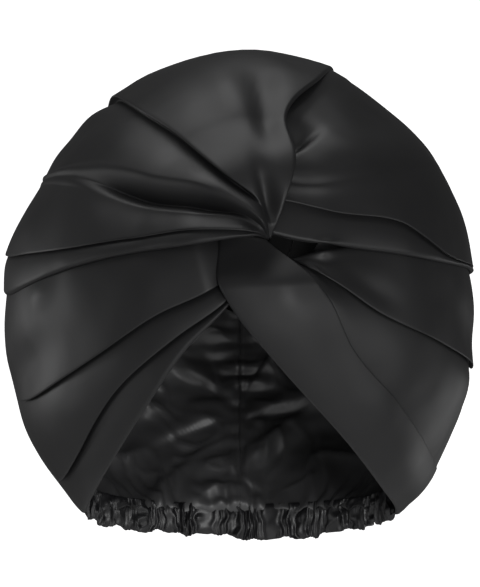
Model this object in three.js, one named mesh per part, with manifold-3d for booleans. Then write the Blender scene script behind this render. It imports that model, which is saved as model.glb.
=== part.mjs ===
// A satin turban with a twisted front, filled out as if it were worn.
// Millimetres and degrees; +X is the viewer's right, the front faces -Y, +Z is up.
// The origin is the middle of the opening for the head, level with the lowest edge of the nape band.
import * as THREE from "three";
import { mergeVertices } from "three/addons/utils/BufferGeometryUtils.js";
import Module from "manifold-3d";

// The whole: a ball of cloth around a centre above the opening.
const RADIUS = 131.8; // from the centre to the lowest edge, seen from the front
const FRONT_DEPTH = 118; // from the centre to the front, without the folds
const BACK_DEPTH = 127; // from the centre to the back
const KNOT = { right: 16.2, up: 28.6 }; // where the folds meet, from the centre

// The cloth.
const WALL = 1.8; // a wrap's layers taken together
const PANEL_WALL = 1.5;
const GAP = 0.4; // between two pieces
const FOLD_WIDTH = 5.6; // across the step of one fold
const PLEAT = 4.4; // how far a full fold stands out
const KNOT_LIFT = 8.5; // how far a wrap rises to cross over the other one
const KNOT_TUCK = 8; // how far it goes in at the knot itself
const FINEST = 0.03; // detail smaller than this is dropped
const SAME_POINT = 0.008; // the grid that corners are rounded to
const UNDER = 4.5; // how far a wrap lies in where the other one crosses over it
const SEAM_STATION = 145; // the station at which every fold line reaches the back seam

// The elastic band at the nape.
const BAND_HEIGHT = 17;
const BAND_THICKNESS = 3;
const BAND_HALF_WIDTH = 79; // at the ears
const BAND_DEPTH = 66; // from the ears back to the nape
const BAND_START_Y = 5;
const BAND_RISE = 10; // its lower edge is this much higher at the ears than at the nape
const RUFFLE = { count: 27, depth: 1.5, steps: 3 };
const PANEL_GATHER = 1.6; // depth of the gathers above the band
const PANEL_SLIT = 0.5; // between the two halves of the back
const SEAM_SINK = 0.3; // a half's outer edge lies this much deeper than the wraps' inside
const SEAM_OVERLAP = 0.05; // share of a half's width that lies under the wraps

// The front outline, as shares of RADIUS, each 30 degrees from the right over the top.
const OUTLINE = [0.956, 0.971, 0.986, 0.998, 0.956, 0.933, 0.96, 1.039, 1.093, 0.994, 1.1, 1.039];

// The seam from the middle of the back to an ear: places on the ball, as shares of RADIUS.
const SEAM = [
  { share: 0, side: 0.015, back: 0.918, up: -0.235 },
  { share: 0.2, side: 0.258, back: 0.82, up: 0.137 },
  { share: 0.4, side: 0.516, back: 0.652, up: 0.38 },
  { share: 0.6, side: 0.76, back: 0.44, up: 0.29 },
  { share: 0.8, side: 0.865, back: 0.228, up: -0.228 },
  { share: 1, side: 0.62, back: 0.06, up: -0.888 },
];

// Fold lines run from the knot to the back seam. Each row is one line: the angle around the knot at
// each station (the distance from the knot in degrees), the share of the back seam where it ends, how
// far the cloth stands out just before and just after the line, as shares of PLEAT, and the stations
// between which the fold dies out. A place written as [distance, angle] stands off its station.
const STATIONS = [1.6, 8, 20, 35, 55, 80];

const LEFT_UPPER = {
  side: -1,
  lift: (t) => upperLift(t),
  rows: [
    { line: "crown edge", at: [40, 64, 66, 80, 70, 66],
      end: 0, before: 0, after: 0.1, fade: [90, 130] },
    { line: "crown dent", at: [80, 84, 93, 98, 92, 90],
      end: 0.15, before: -0.5, after: -0.5, fade: [18, 36] },
    { line: "crown over band", at: [110, 108, 124, 125, 126, 123],
      end: 0.33, before: 1, after: -0.8, fade: [48, 92] },
    { line: "band over pocket", at: [140, 130, 139, 146, 147, 149],
      end: 0.48, before: 1, after: -1.6, fade: [45, 88] },
    { line: "pocket floor", at: [160, 147, 160, 160, 156, 157],
      end: 0.56, before: -1.7, after: 0.7, fade: [45, 85] },
    { line: "ridge over strip", at: [190, 165, 169, 174, 174, 170],
      end: 0.64, before: 1, after: -0.1, fade: [48, 92] },
    { line: "strip over side", at: [215, 176, 180, 181, 182, 182],
      end: 0.7, before: 1, after: 0, fade: [48, 92] },
  ],
};

const LEFT_LOWER = {
  side: -1,
  lift: (t) => -KNOT_TUCK * (1 - smooth(14, 27, t)),
  rows: [
    { line: "tucked top", at: [170, 168, 168, 171, 173, 173],
      end: 0.66, before: 0, after: -0.9, fade: [55, 92] },
    { line: "side over lower", at: [220, 222, 218, 211, 210, 208],
      end: 0.84, before: 1, after: -0.7, fade: [50, 92] },
    { line: "lower over hem", at: [250, 238, 232, 224, 221.5, 225],
      end: 0.95, before: 1, after: -0.7, fade: [55, 92] },
    { line: "hem edge", at: [262, 242, 237, 231.5, 232, 233],
      end: 1, before: 0.6, after: 0, fade: [60, 100] },
  ],
};

const RIGHT_UPPER = {
  side: 1,
  lift: (t, u) => underLift(t, u),
  rows: [
    { line: "hidden edge", at: [178, [9, 168], [16, 150], [32, 96], 80, 75],
      end: 0.01, before: 0, after: -0.55, fade: [125, 140] },
    { line: "by the crown", at: [75, 60, 62, 74, 64, 60],
      end: 0.2, before: -0.55, after: -0.4, fade: [90, 125] },
    { line: "upper crest", at: [60, 58, 58, 44, 34, 31],
      end: 0.48, before: 0.9, after: 0.7, fade: [50, 90] },
    { line: "upper hollow", at: [50, 54, 48, 34, 29, 28],
      end: 0.53, before: -0.6, after: -0.4, fade: [50, 90] },
    { line: "upper over middle", at: [20, 40, 26, 13, 2.5, 4.5],
      end: 0.66, before: 1, after: -0.4, fade: [55, 92] },
    { line: "middle over side", at: [0, 3, 358, 357.5, 359.5, 3],
      end: 0.7, before: 1, after: 0, fade: [48, 92] },
  ],
};

const RIGHT_LOWER = {
  side: 1,
  lift: (t, u) => frontLift(t, u),
  rows: [
    { line: "tucked top", at: [[9, 352], [12, 4], 6, 6, 7, 10],
      end: 0.66, before: 0, after: -1.2, fade: [55, 92] },
    { line: "side over middle", at: [[6, 321], [10, 325], 328.5, 330, 335.5, 340],
      end: 0.82, before: 1, after: -0.7, fade: [50, 92] },
    { line: "front band over middle", at: [[5, 316], [9, 318], 312.5, 308, 312, 315],
      end: 0.93, before: -0.8, after: 1, fade: [48, 92] },
    { line: "front band", at: [[4, 215], [9, 252], [21, 272], [34, 290], [55, 303], [80, 308]],
      end: 0.97, before: 0.9, after: 0.9, fade: [50, 90] },
    { line: "front edge", at: [[13.5, 172], [16, 205], [20, 236], [33, 274], [55, 293], [80, 301.5]],
      end: 1, before: 0, after: 0, fade: [60, 100] },
  ],
};

// The left wrap's upper part stands over the right wrap's bend, and goes in at the knot.
function upperLift(t) {
  return KNOT_LIFT * (1 - smooth(17, 36, t)) - (KNOT_LIFT + KNOT_TUCK - 2) * (1 - smooth(0, 7, t));
}

// The right wrap's upper part lies under the crown near the knot, and its hidden edge stays in for longer.
function underLift(t, u) {
  const hidden = 0.6 * UNDER * smooth(20, 36, t) * (1 - smooth(42, 68, t)) * (1 - smooth(0.9, 1.8, u));
  return -UNDER * (1 - smooth(20, 40, t)) - hidden - (KNOT_TUCK - UNDER) * (1 - smooth(0, 8, t));
}

// The front band stands over the left wrap's lower part, and its start is tucked under the upper part.
function frontLift(t, u) {
  const over = KNOT_LIFT * 0.8 * (1 - smooth(20, 48, t)) * smooth(1.2, 2.6, u);
  const tuck = (KNOT_TUCK + 1) * (1 - smooth(0, 6, t));
  return over - tuck;
}

const wasm = await Module();
wasm.setup();

function smooth(from, to, x) {
  const t = Math.min(1, Math.max(0, (x - from) / (to - from)));
  return t * t * (3 - 2 * t);
}

// The front outline's radius at an angle, smooth through the table's rows.
function outline(angle) {
  const n = OUTLINE.length;
  const turn = (((angle % 360) + 360) % 360) / (360 / n);
  const k = Math.floor(turn);
  const t = turn - k;
  const [a, b, c, d] = [-1, 0, 1, 2].map((i) => OUTLINE[(k + i + n) % n]);
  return RADIUS * (b + 0.5 * t * (c - a + t * (2 * a - 5 * b + 4 * c - d + t * (3 * (b - c) + d - a))));
}

// The ball's radius along a direction from the centre.
function ball(direction) {
  const angle = THREE.MathUtils.radToDeg(Math.atan2(direction.z, direction.x));
  const across = Math.hypot(direction.x, direction.z) / outline(angle);
  const along = direction.y / (direction.y < 0 ? FRONT_DEPTH : BACK_DEPTH);
  return 1 / Math.hypot(across, along);
}

// The knot's direction, and the two directions that angles around it are measured with.
const knotOutline = outline(THREE.MathUtils.radToDeg(Math.atan2(KNOT.up, KNOT.right)));
const knotFront = FRONT_DEPTH * Math.sqrt(1 - (Math.hypot(KNOT.right, KNOT.up) / knotOutline) ** 2);
const KNOT_AXIS = new THREE.Vector3(KNOT.right, -knotFront, KNOT.up).normalize();
const KNOT_UP = new THREE.Vector3(0, 0, 1).addScaledVector(KNOT_AXIS, -KNOT_AXIS.z).normalize();
const KNOT_RIGHT = new THREE.Vector3().crossVectors(KNOT_UP, KNOT_AXIS).normalize();

function aroundKnot(distance, angle) {
  const [p, a] = [distance, angle].map(THREE.MathUtils.degToRad);
  return KNOT_AXIS.clone()
    .multiplyScalar(Math.cos(p))
    .addScaledVector(KNOT_RIGHT, Math.sin(p) * Math.cos(a))
    .addScaledVector(KNOT_UP, Math.sin(p) * Math.sin(a));
}

// A direction between those of the keys, smooth through them (a cubic through unequal steps).
function through(keys, values, x) {
  const last = keys.length - 1;
  let i = 0;
  while (i < last - 1 && x >= keys[i + 1]) i += 1;
  const step = (k) => keys[k + 1] - keys[k];
  const slope = (k) => values[k + 1].clone().sub(values[k]).divideScalar(step(k));
  const tangent = (k) => {
    if (k === 0) return slope(0);
    if (k === last) return slope(last - 1);
    const mixed = slope(k - 1).multiplyScalar(step(k)).addScaledVector(slope(k), step(k - 1));
    return mixed.divideScalar(step(k) + step(k - 1));
  };
  const h = step(i);
  const u = (x - keys[i]) / h;
  return values[i].clone()
    .multiplyScalar(2 * u ** 3 - 3 * u ** 2 + 1)
    .addScaledVector(tangent(i), h * (u ** 3 - 2 * u ** 2 + u))
    .addScaledVector(values[i + 1], 3 * u ** 2 - 2 * u ** 3)
    .addScaledVector(tangent(i + 1), h * (u ** 3 - u ** 2))
    .normalize();
}

function seamAt(side, share) {
  const places = SEAM.map((r) => new THREE.Vector3(side * r.side, r.back, r.up).normalize());
  return through(SEAM.map((r) => r.share), places, share);
}

const CENTRE = new THREE.Vector3(0, 0, RADIUS);

function place(direction, height) {
  return direction.clone().multiplyScalar(ball(direction) + height).add(CENTRE);
}

// A closed shell from a grid of places that each have an outer and an inner point.
function shell(outer, inner) {
  const [rows, cols] = [outer.length, outer[0].length];
  const points = [...outer.flat(), ...inner.flat()];
  const at = (layer, i, j) => layer * rows * cols + i * cols + j;
  const faces = [];
  const quad = (a, b, c, d) => faces.push(a, b, c, a, c, d);
  for (let i = 0; i < rows - 1; i++) {
    for (let j = 0; j < cols - 1; j++) {
      quad(at(0, i, j), at(0, i, j + 1), at(0, i + 1, j + 1), at(0, i + 1, j));
      quad(at(1, i, j), at(1, i + 1, j), at(1, i + 1, j + 1), at(1, i, j + 1));
    }
  }
  for (let i = 0; i < rows - 1; i++) {
    quad(at(0, i, 0), at(0, i + 1, 0), at(1, i + 1, 0), at(1, i, 0));
    quad(at(0, i + 1, cols - 1), at(0, i, cols - 1), at(1, i, cols - 1), at(1, i + 1, cols - 1));
  }
  for (let j = 0; j < cols - 1; j++) {
    quad(at(0, 0, j + 1), at(0, 0, j), at(1, 0, j), at(1, 0, j + 1));
    quad(at(0, rows - 1, j), at(0, rows - 1, j + 1), at(1, rows - 1, j + 1), at(1, rows - 1, j));
  }
  return solid(points, faces);
}

// A manifold solid, turned outward if its faces point in.
function solid(points, faces) {
  const vertProperties = new Float32Array(points.flatMap((p) => [p.x, p.y, p.z]));
  const make = (list) => {
    const triVerts = new Uint32Array(list);
    return new wasm.Manifold(new wasm.Mesh({ numProp: 3, vertProperties, triVerts }));
  };
  const made = make(faces);
  if (made.volume() > 0) return made;
  const turned = [];
  for (let i = 0; i < faces.length; i += 3) turned.push(faces[i], faces[i + 2], faces[i + 1]);
  return make(turned);
}

const WRAP_STATIONS = [1.6, 4, 7, 10, 13.5, 17, 21, 26, 32, 39, 47, 56, 66, 77, 89, 102, 116, 130, 145];

// The columns of one fan at one station: directions and heights from its first line to its last.
function fanColumns(fan, t, grow) {
  const keys = [...STATIONS, SEAM_STATION];
  const lines = fan.rows.map((row) => {
    const places = row.at.map((a, i) => (Array.isArray(a) ? aroundKnot(...a) : aroundKnot(STATIONS[i], a)));
    return through(keys, [...places, seamAt(fan.side, row.end)], t);
  });
  const points = lines.map((d) => place(d, 0));
  const width = points.slice(1).map((p, k) => Math.max(0.4, p.distanceTo(points[k])));
  const near = 0.3 + 0.7 * smooth(0, 22, t);
  const height = (row, value) => value * PLEAT * near * (1 - smooth(row.fade[0], row.fade[1], t));
  const last = fan.rows.length - 1;
  const columns = [];
  const put = (k, share, h) => {
    const direction = lines[k].clone().lerp(lines[k + 1], share).normalize();
    columns.push({ direction, height: h + fan.lift(t, k + share) });
  };
  fan.rows.forEach((row, k) => {
    const [before, after] = [height(row, row.before), height(row, row.after)];
    const half = (side) => Math.min(FOLD_WIDTH / 2, 0.28 * side);
    if (k === 0) {
      put(0, -grow / width[0], after - 1);
      put(0, half(width[0]) / width[0], after);
    } else if (k === last) {
      put(last - 1, 1 - half(width[last - 1]) / width[last - 1], before);
      put(last - 1, 1 + grow / width[last - 1], before - 1);
    } else {
      put(k - 1, 1 - half(width[k - 1]) / width[k - 1], before);
      put(k, 0, 0.5 * (before + after));
      put(k, half(width[k]) / width[k], after);
    }
    if (k < last) {
      const next = height(fan.rows[k + 1], fan.rows[k + 1].before);
      const [a, b] = [half(width[k]) / width[k], 1 - half(width[k]) / width[k]];
      const inner = fan.faces?.[k] ?? 2;
      for (let i = 1; i <= inner; i++) {
        const f = i / (inner + 1);
        put(k, a + (b - a) * f, after + (next - after) * f);
      }
    }
  });
  return columns;
}

function fanShell(fan, grow = 0) {
  const grid = WRAP_STATIONS.map((t) => fanColumns(fan, t, grow));
  const outer = grid.map((line) => line.map((c) => place(c.direction, c.height + grow)));
  const inner = grid.map((line) => line.map((c) => place(c.direction, c.height - WALL - grow)));
  return shell(outer, inner);
}

const wrap = (upper, lower, grow) => fanShell(upper, grow).add(fanShell(lower, grow));

// The one body that is left when specks are dropped and corners stand on a grid of SAME_POINT.
function largest(made) {
  const biggest = (m) => m.decompose().sort((a, b) => b.volume() - a.volume())[0];
  let kept = biggest(biggest(made).simplify(FINEST));
  for (let pass = 0; pass < 3; pass++) {
    const mesh = kept.getMesh();
    const snapped = mesh.vertProperties.map((v) => Math.round(v / SAME_POINT) * SAME_POINT);
    const loose = new THREE.BufferGeometry()
      .setAttribute("position", new THREE.BufferAttribute(snapped, mesh.numProp))
      .setIndex(new THREE.BufferAttribute(mesh.triVerts, 1));
    const joined = mergeVertices(loose, SAME_POINT / 4);
    const vertProperties = joined.attributes.position.array;
    const triVerts = new Uint32Array(joined.index.array);
    kept = biggest(new wasm.Manifold(new wasm.Mesh({ numProp: 3, vertProperties, triVerts })));
  }
  return kept;
}

// Along the band from one ear (0) round the nape to the other (1).
function bandAt(share, up, out) {
  const turn = Math.PI * share;
  const [c, s] = [Math.cos(turn), Math.sin(turn)];
  const outward = new THREE.Vector3(-c * BAND_DEPTH, s * BAND_HALF_WIDTH, 0).normalize();
  const z = BAND_RISE * (1 - s) + up;
  return new THREE.Vector3(-BAND_HALF_WIDTH * c, BAND_START_Y + BAND_DEPTH * s, z).addScaledVector(outward, out);
}

function napeBand(grow = 0) {
  const along = RUFFLE.count * RUFFLE.steps;
  const level = (v) => v * (BAND_HEIGHT + 2 * grow) - grow;
  const outer = [];
  const inner = [];
  for (let i = 0; i <= along; i++) {
    const share = -0.01 + 1.02 * (i / along);
    const turn = (2 * Math.PI * i) / RUFFLE.steps;
    const wave = RUFFLE.depth * Math.sin(turn + 1.3 * Math.sin(i * 0.37));
    const ring = [0, 0.35, 0.7, 1].map((v) => ({ v, puff: wave * (0.5 + 0.5 * Math.sin(Math.PI * v)) }));
    outer.push(ring.map((r) => bandAt(share, level(r.v), BAND_THICKNESS / 2 + r.puff + grow)));
    inner.push(ring.map((r) => bandAt(share, level(r.v), -BAND_THICKNESS / 2 + r.puff - grow)));
  }
  return shell(outer, inner);
}

// Half of the back: across from the middle seam to the side seam, and down from where they meet to
// the band. The rows fan out from the meeting point, and the last row lies along the band's top.
function backPanel(side) {
  const [across, down] = [10, 11];
  const outer = [];
  const inner = [];
  for (let j = 0; j <= down; j++) {
    const v = j / down;
    const middleFoot = bandAt(0.5, BAND_HEIGHT + GAP, 0).sub(CENTRE).normalize();
    const middle = seamAt(side, 0).lerp(middleFoot, 1.02 * v - 0.02).normalize();
    const edge = seamAt(side, 0.015 + 0.965 * v);
    const lines = [[], []];
    for (let i = 0; i <= across; i++) {
      const u = i / across;
      const foot = bandAt(0.5 + side * 0.5 * u, BAND_HEIGHT + GAP, 0).sub(CENTRE);
      const low = smooth(0.35, 1, v) * (1 - u ** 3);
      const direction = middle.clone().lerp(edge, u * (1 + SEAM_OVERLAP)).normalize();
      direction.lerp(foot.clone().normalize(), low).normalize();
      const nearBand = smooth(0.35, 0.9, v) * (1 - smooth(0.9, 1, v));
      const gather = PANEL_GATHER * Math.sin(u * 30 + 2 * Math.sin(u * 7)) * nearBand;
      const onBall = ball(direction) - WALL - SEAM_SINK * smooth(0.6, 0.95, u) + gather;
      const radius = onBall + (foot.length() - onBall) * smooth(0.62, 1, v) * (1 - u ** 3);
      [0, PANEL_WALL].forEach((depth, layer) => {
        const at = direction.clone().multiplyScalar(radius - depth).add(CENTRE);
        if (u === 0) at.x = (side * PANEL_SLIT) / 2;
        lines[layer].push(at);
      });
    }
    outer.push(lines[0]);
    inner.push(lines[1]);
  }
  return shell(outer, inner);
}

const left = largest(wrap(LEFT_UPPER, LEFT_LOWER, 0));
const leftSpace = wrap(LEFT_UPPER, LEFT_LOWER, GAP).add(left);
const right = largest(wrap(RIGHT_UPPER, RIGHT_LOWER, 0).subtract(leftSpace));
const wrapSpace = leftSpace.add(wrap(RIGHT_UPPER, RIGHT_LOWER, GAP)).add(right);
const band = largest(napeBand().subtract(wrapSpace));
const taken = wrapSpace.add(napeBand(GAP));

const pieces = {
  left_wrap: left,
  right_wrap: right,
  nape_band: band,
  back_panel_left: largest(backPanel(-1).subtract(taken)),
  back_panel_right: largest(backPanel(1).subtract(taken)),
};

const colours = {
  left_wrap: 0x3a3a3e,
  right_wrap: 0x5a5a60,
  nape_band: 0x88808a,
  back_panel_left: 0x6a7078,
  back_panel_right: 0x70787c,
};

const turban = new THREE.Group();
for (const [name, made] of Object.entries(pieces)) {
  const mesh = made.getMesh();
  const geometry = new THREE.BufferGeometry()
    .setAttribute("position", new THREE.BufferAttribute(mesh.vertProperties, 3))
    .setIndex(new THREE.BufferAttribute(mesh.triVerts, 1));
  const piece = new THREE.Mesh(geometry, new THREE.MeshStandardMaterial({ color: colours[name] }));
  piece.name = name;
  turban.add(piece);
  if (globalThis.SHOW) console.log(name, made.numTri());
}
export default turban;
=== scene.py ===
"""A black satin turban with a twisted front, dressed over its CAD frame.

Lengths in the geometry are millimetres in the frame's own axes: +X is the viewer's right, -Y is the front
and +Z is up. They become metres when a mesh is made. The cloth is a ball around CENTRE. Its folds run from
the knot at the front to a seam at the back, and each point is the ball's point along a direction, moved in
or out by the folds.
"""

import logging
import math
from dataclasses import dataclass, field
from enum import Enum
from typing import Callable

import bpy
import numpy as np
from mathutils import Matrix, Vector


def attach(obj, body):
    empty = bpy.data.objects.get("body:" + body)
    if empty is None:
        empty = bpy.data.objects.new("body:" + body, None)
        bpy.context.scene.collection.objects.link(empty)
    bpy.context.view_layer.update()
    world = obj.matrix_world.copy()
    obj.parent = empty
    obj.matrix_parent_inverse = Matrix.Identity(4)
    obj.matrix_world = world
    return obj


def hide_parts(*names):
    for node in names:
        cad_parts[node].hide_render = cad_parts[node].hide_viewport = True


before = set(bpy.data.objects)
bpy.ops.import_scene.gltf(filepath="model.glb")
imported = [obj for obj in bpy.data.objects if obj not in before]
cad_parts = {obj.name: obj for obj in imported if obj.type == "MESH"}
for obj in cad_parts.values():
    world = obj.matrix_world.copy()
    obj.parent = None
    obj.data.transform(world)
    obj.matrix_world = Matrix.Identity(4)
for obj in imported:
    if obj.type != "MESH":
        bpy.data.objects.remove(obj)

LOG = logging.getLogger("turban")
MM = 0.001

# The ball: its radius, its half depths before and behind the middle, and its front outline as shares of
# the radius, one for each 30 degrees from the viewer's right, over the top.
RADIUS = 131.8
FRONT_DEPTH = 118.0
BACK_DEPTH = 127.0
OUTLINE_SHARES = (0.956, 0.971, 0.986, 0.998, 0.956, 0.933, 0.96, 1.039, 1.093, 0.994, 1.1, 1.039)

# Where the knot is, right of the centre and above it.
KNOT_SIDE = 16.2
KNOT_HEIGHT = 28.6
CENTRE = np.array([0.0, 0.0, RADIUS])

# The pleats: their height and half breadth, how far the wraps stand out round the knot and go in at it, how
# far a free edge turns in, and how far the lower of two layers goes under.
PLEAT = 4.4
FOLD_HALF = 2.4
KNOT_LIFT = 8.5
KNOT_TUCK = 8.0
HEM_DROP = 2.2
UNDER = 4.5
CLOTH_THICK = 0.7

# A station is a place along a fold line: its distance from the knot in degrees, unless the line says
# another there. The last one is on the back seam.
STATIONS = (0.4, 8.0, 20.0, 35.0, 55.0, 80.0)
SEAM_STATION = 145.0

# The nape band: half an ellipse in plan, whose ends are BAND_START behind CENTRE and BAND_RISE higher than
# its middle.
BAND_HEIGHT = 17.0
BAND_THICK = 3.0
BAND_HALF_WIDTH = 79.0
BAND_DEPTH = 66.0
BAND_START = 5.0
BAND_RISE = 10.0


class Side(Enum):
    """Which half of the turban a piece belongs to, as the sign of X."""

    LEFT = -1
    RIGHT = 1


class Sheen(Enum):
    """How glossy a satin face is, as the roughness of its gloss."""

    OUTER = 0.5
    INNER = 0.43
    CASING = 0.38


def smooth(start: float, stop: float, x: np.ndarray) -> np.ndarray:
    """A step that eases in and out.

    Args:
        start: where it begins to rise from 0.
        stop: where it has reached 1.
        x: the places to read it at.

    Returns:
        3t^2 - 2t^3, with t the share of the way from start to stop, held within 0 and 1.
    """
    t = np.clip((np.asarray(x, float) - start) / (stop - start), 0.0, 1.0)
    return t * t * (3.0 - 2.0 * t)


def unit(v: np.ndarray) -> np.ndarray:
    """Vectors at length 1.

    Args:
        v: vectors along the last axis.

    Returns:
        each divided by its own length.
    """
    return v / np.linalg.norm(v, axis=-1, keepdims=True)


def through(keys: np.ndarray, values: np.ndarray, x: np.ndarray) -> np.ndarray:
    """A smooth curve of directions through keyed ones.

    Args:
        keys: n rising numbers.
        values: n directions.
        x: where to read the curve.

    Returns:
        a cubic between each two keys, whose slope at a key is the mean of the slopes on its two sides,
        weighted towards the nearer one, and brought back to length 1.
    """
    step = np.diff(keys)
    slope = np.diff(values, axis=0) / step[:, None]
    tangent = np.empty_like(values)
    tangent[0], tangent[-1] = slope[0], slope[-1]
    before, after = step[:-1, None], step[1:, None]
    tangent[1:-1] = (slope[:-1] * after + slope[1:] * before) / (before + after)
    i = np.clip(np.searchsorted(keys, x, side="right") - 1, 0, len(keys) - 2)
    h = step[i][:, None]
    u = ((x - keys[i]) / step[i])[:, None]
    curve = (2 * u**3 - 3 * u**2 + 1) * values[i] + (u**3 - 2 * u**2 + u) * h * tangent[i]
    curve += (3 * u**2 - 2 * u**3) * values[i + 1] + (u**3 - u**2) * h * tangent[i + 1]
    return unit(curve)


class Crumple:
    """Smooth random heights through space, the same each time.

    Args:
        seed: which random heights.
        size: the distance in mm between one random height and the next.
    """

    COUNT = 32

    def __init__(self, seed: int, size: float) -> None:
        self.size = size
        self.values = np.random.default_rng(seed).uniform(-1, 1, (self.COUNT,) * 3)

    def at(self, points: np.ndarray) -> np.ndarray:
        """The heights at points.

        Args:
            points: places in mm along the last axis.

        Returns:
            the random heights of the eight nearest corners of a grid, each weighted by a smooth step.
        """
        place = points / self.size + 0.5 * self.COUNT
        low = np.floor(place).astype(int)
        share = smooth(0.0, 1.0, place - low)
        total = np.zeros(points.shape[:-1])
        for corner in np.ndindex(2, 2, 2):
            weight = np.prod(np.where(corner, share, 1 - share), axis=-1)
            total += weight * self.values[tuple(np.moveaxis((low + corner) % self.COUNT, -1, 0))]
        return total


class Ball:
    """The turban's overall form."""

    @staticmethod
    def outline(angle: np.ndarray) -> np.ndarray:
        """The front outline's radius.

        Args:
            angle: degrees from the viewer's right, over the top.

        Returns:
            the Catmull-Rom curve through OUTLINE_SHARES, times RADIUS.
        """
        p = np.array(OUTLINE_SHARES)
        n = len(p)
        turn = np.mod(angle, 360.0) / (360.0 / n)
        k = np.floor(turn).astype(int)
        t = turn - k
        a, b, c, d = (p[(k + i) % n] for i in (-1, 0, 1, 2))
        bend = 2 * a - 5 * b + 4 * c - d + t * (3 * (b - c) + d - a)
        return RADIUS * (b + 0.5 * t * (c - a + t * bend))

    @classmethod
    def radius(cls, direction: np.ndarray) -> np.ndarray:
        """The ball's radius along directions.

        Args:
            direction: unit vectors along the last axis.

        Returns:
            the radius of the ellipse with the outline's radius across and the depth along Y.
        """
        x, y, z = (direction[..., i] for i in range(3))
        across = np.hypot(x, z) / cls.outline(np.degrees(np.arctan2(z, x)))
        along = y / np.where(y < 0, FRONT_DEPTH, BACK_DEPTH)
        return 1.0 / np.hypot(across, along)

    @classmethod
    def place(cls, direction: np.ndarray, height: np.ndarray) -> np.ndarray:
        """Points that stand off the ball.

        Args:
            direction: unit vectors along the last axis.
            height: how far each point stands out.

        Returns:
            CENTRE plus the direction times the radius and the height together.
        """
        return direction * (cls.radius(direction) + height)[..., None] + CENTRE


def knot_axes() -> tuple[np.ndarray, np.ndarray, np.ndarray]:
    """The knot's own axes.

    Returns:
        the direction from the centre to the knot, which is where the ball's front is KNOT_SIDE to the right
        and KNOT_HEIGHT up, and the directions right and up around it.
    """
    rim = Ball.outline(np.array(math.degrees(math.atan2(KNOT_HEIGHT, KNOT_SIDE))))
    front = FRONT_DEPTH * math.sqrt(1 - (math.hypot(KNOT_SIDE, KNOT_HEIGHT) / rim) ** 2)
    axis = unit(np.array([KNOT_SIDE, -front, KNOT_HEIGHT]))
    up = unit(np.array([0.0, 0.0, 1.0]) - axis * axis[2])
    return axis, np.cross(up, axis), up


KNOT_AXIS, KNOT_RIGHT, KNOT_UP = knot_axes()


def around_knot(distance: np.ndarray, angle: np.ndarray) -> np.ndarray:
    """Directions given by their place around the knot.

    Args:
        distance: degrees from the knot.
        angle: degrees around it from the viewer's right, over the top.

    Returns:
        unit vectors.
    """
    p, a = np.radians(distance)[..., None], np.radians(angle)[..., None]
    return np.cos(p) * KNOT_AXIS + np.sin(p) * (np.cos(a) * KNOT_RIGHT + np.sin(a) * KNOT_UP)


# The right back seam: its directions, at any length, at these shares of the way to the ear.
SEAM_SHARES = np.array([0.0, 0.2, 0.4, 0.6, 0.8, 1.0])
SEAM_PLACES = np.array(
    [
        (0.015, 0.918, -0.235),
        (0.258, 0.82, 0.137),
        (0.516, 0.652, 0.38),
        (0.76, 0.44, 0.29),
        (0.865, 0.228, -0.228),
        (0.62, 0.06, -0.888),
    ]
)


def seam_at(side: Side, share: np.ndarray) -> np.ndarray:
    """Directions on the seam from the middle of the back to an ear.

    Args:
        side: which seam.
        share: 0 at the middle of the back, 1 at the ear.

    Returns:
        unit vectors.
    """
    return through(SEAM_SHARES, unit(SEAM_PLACES * (side.value, 1, 1)), np.atleast_1d(share))


Place = float | tuple[float, float]


@dataclass(frozen=True)
class FoldLine:
    """One line from the knot to the back seam, where the cloth folds.

    Args:
        name: what the line is.
        at: its angle around the knot at each of STATIONS, or its distance and angle.
        end: the share of the back seam where it ends.
        before: how far the cloth stands out just above the line, as a share of PLEAT.
        after: the same just below it.
        fade: the stations between which the fold dies out.
        roll: how far the fold's lip hangs over, where 0 is a plain slope.
        start: the stations between which the fold comes up.
        puff: how far the cloth from this line to the next is rounded out, in mm.
    """

    name: str
    at: tuple[Place, ...]
    end: float
    before: float
    after: float
    fade: tuple[float, float]
    roll: float = 0.8
    start: tuple[float, float] = (2.0, 16.0)
    puff: float = 1.0
    FAR = (45, 72)
    FAR_TOP = 0.6
    FAR_FOOT = 0.4
    NOTCH = 0.35

    @property
    def single(self) -> bool:
        """Whether the cloth only bends at the line, with no step."""
        return self.before == self.after

    @property
    def soft(self) -> bool:
        """Whether it bends so softly that it is level there."""
        return self.roll == 0

    def heights(self, stations: np.ndarray) -> tuple[np.ndarray, np.ndarray]:
        """How far the cloth stands out on each side of the line.

        Between the FAR stations and beyond them the lip comes down by the share FAR_TOP and the foot's
        height by FAR_FOOT, and the foot goes in by the share NOTCH of PLEAT, so that the fold is a notch in
        the outline.

        Args:
            stations: where along the line to read them.

        Returns:
            the heights just above and just below the line, in mm.
        """
        live = PLEAT * smooth(*self.start, stations) * (1 - smooth(*self.fade, stations))
        far = smooth(*self.FAR, stations)
        high, low = max(self.before, self.after), min(self.before, self.after)
        top = live * (high * (1 - self.FAR_TOP * far))
        foot = live * (low * (1 - self.FAR_FOOT * far) - self.NOTCH * far * (high > low))
        return (top, foot) if self.before >= self.after else (foot, top)

    def directions(self, side: Side, stations: np.ndarray) -> np.ndarray:
        """The line's directions.

        Args:
            side: which back seam it ends on.
            stations: where along the line to read it.

        Returns:
            one unit vector for each station.
        """
        pairs = [p if isinstance(p, tuple) else (s, p) for s, p in zip(STATIONS, self.at)]
        places = around_knot(*(np.array(v, float) for v in zip(*pairs)))
        keys = np.array([*STATIONS, SEAM_STATION])
        return through(keys, np.vstack([places, seam_at(side, self.end)]), stations)


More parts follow.
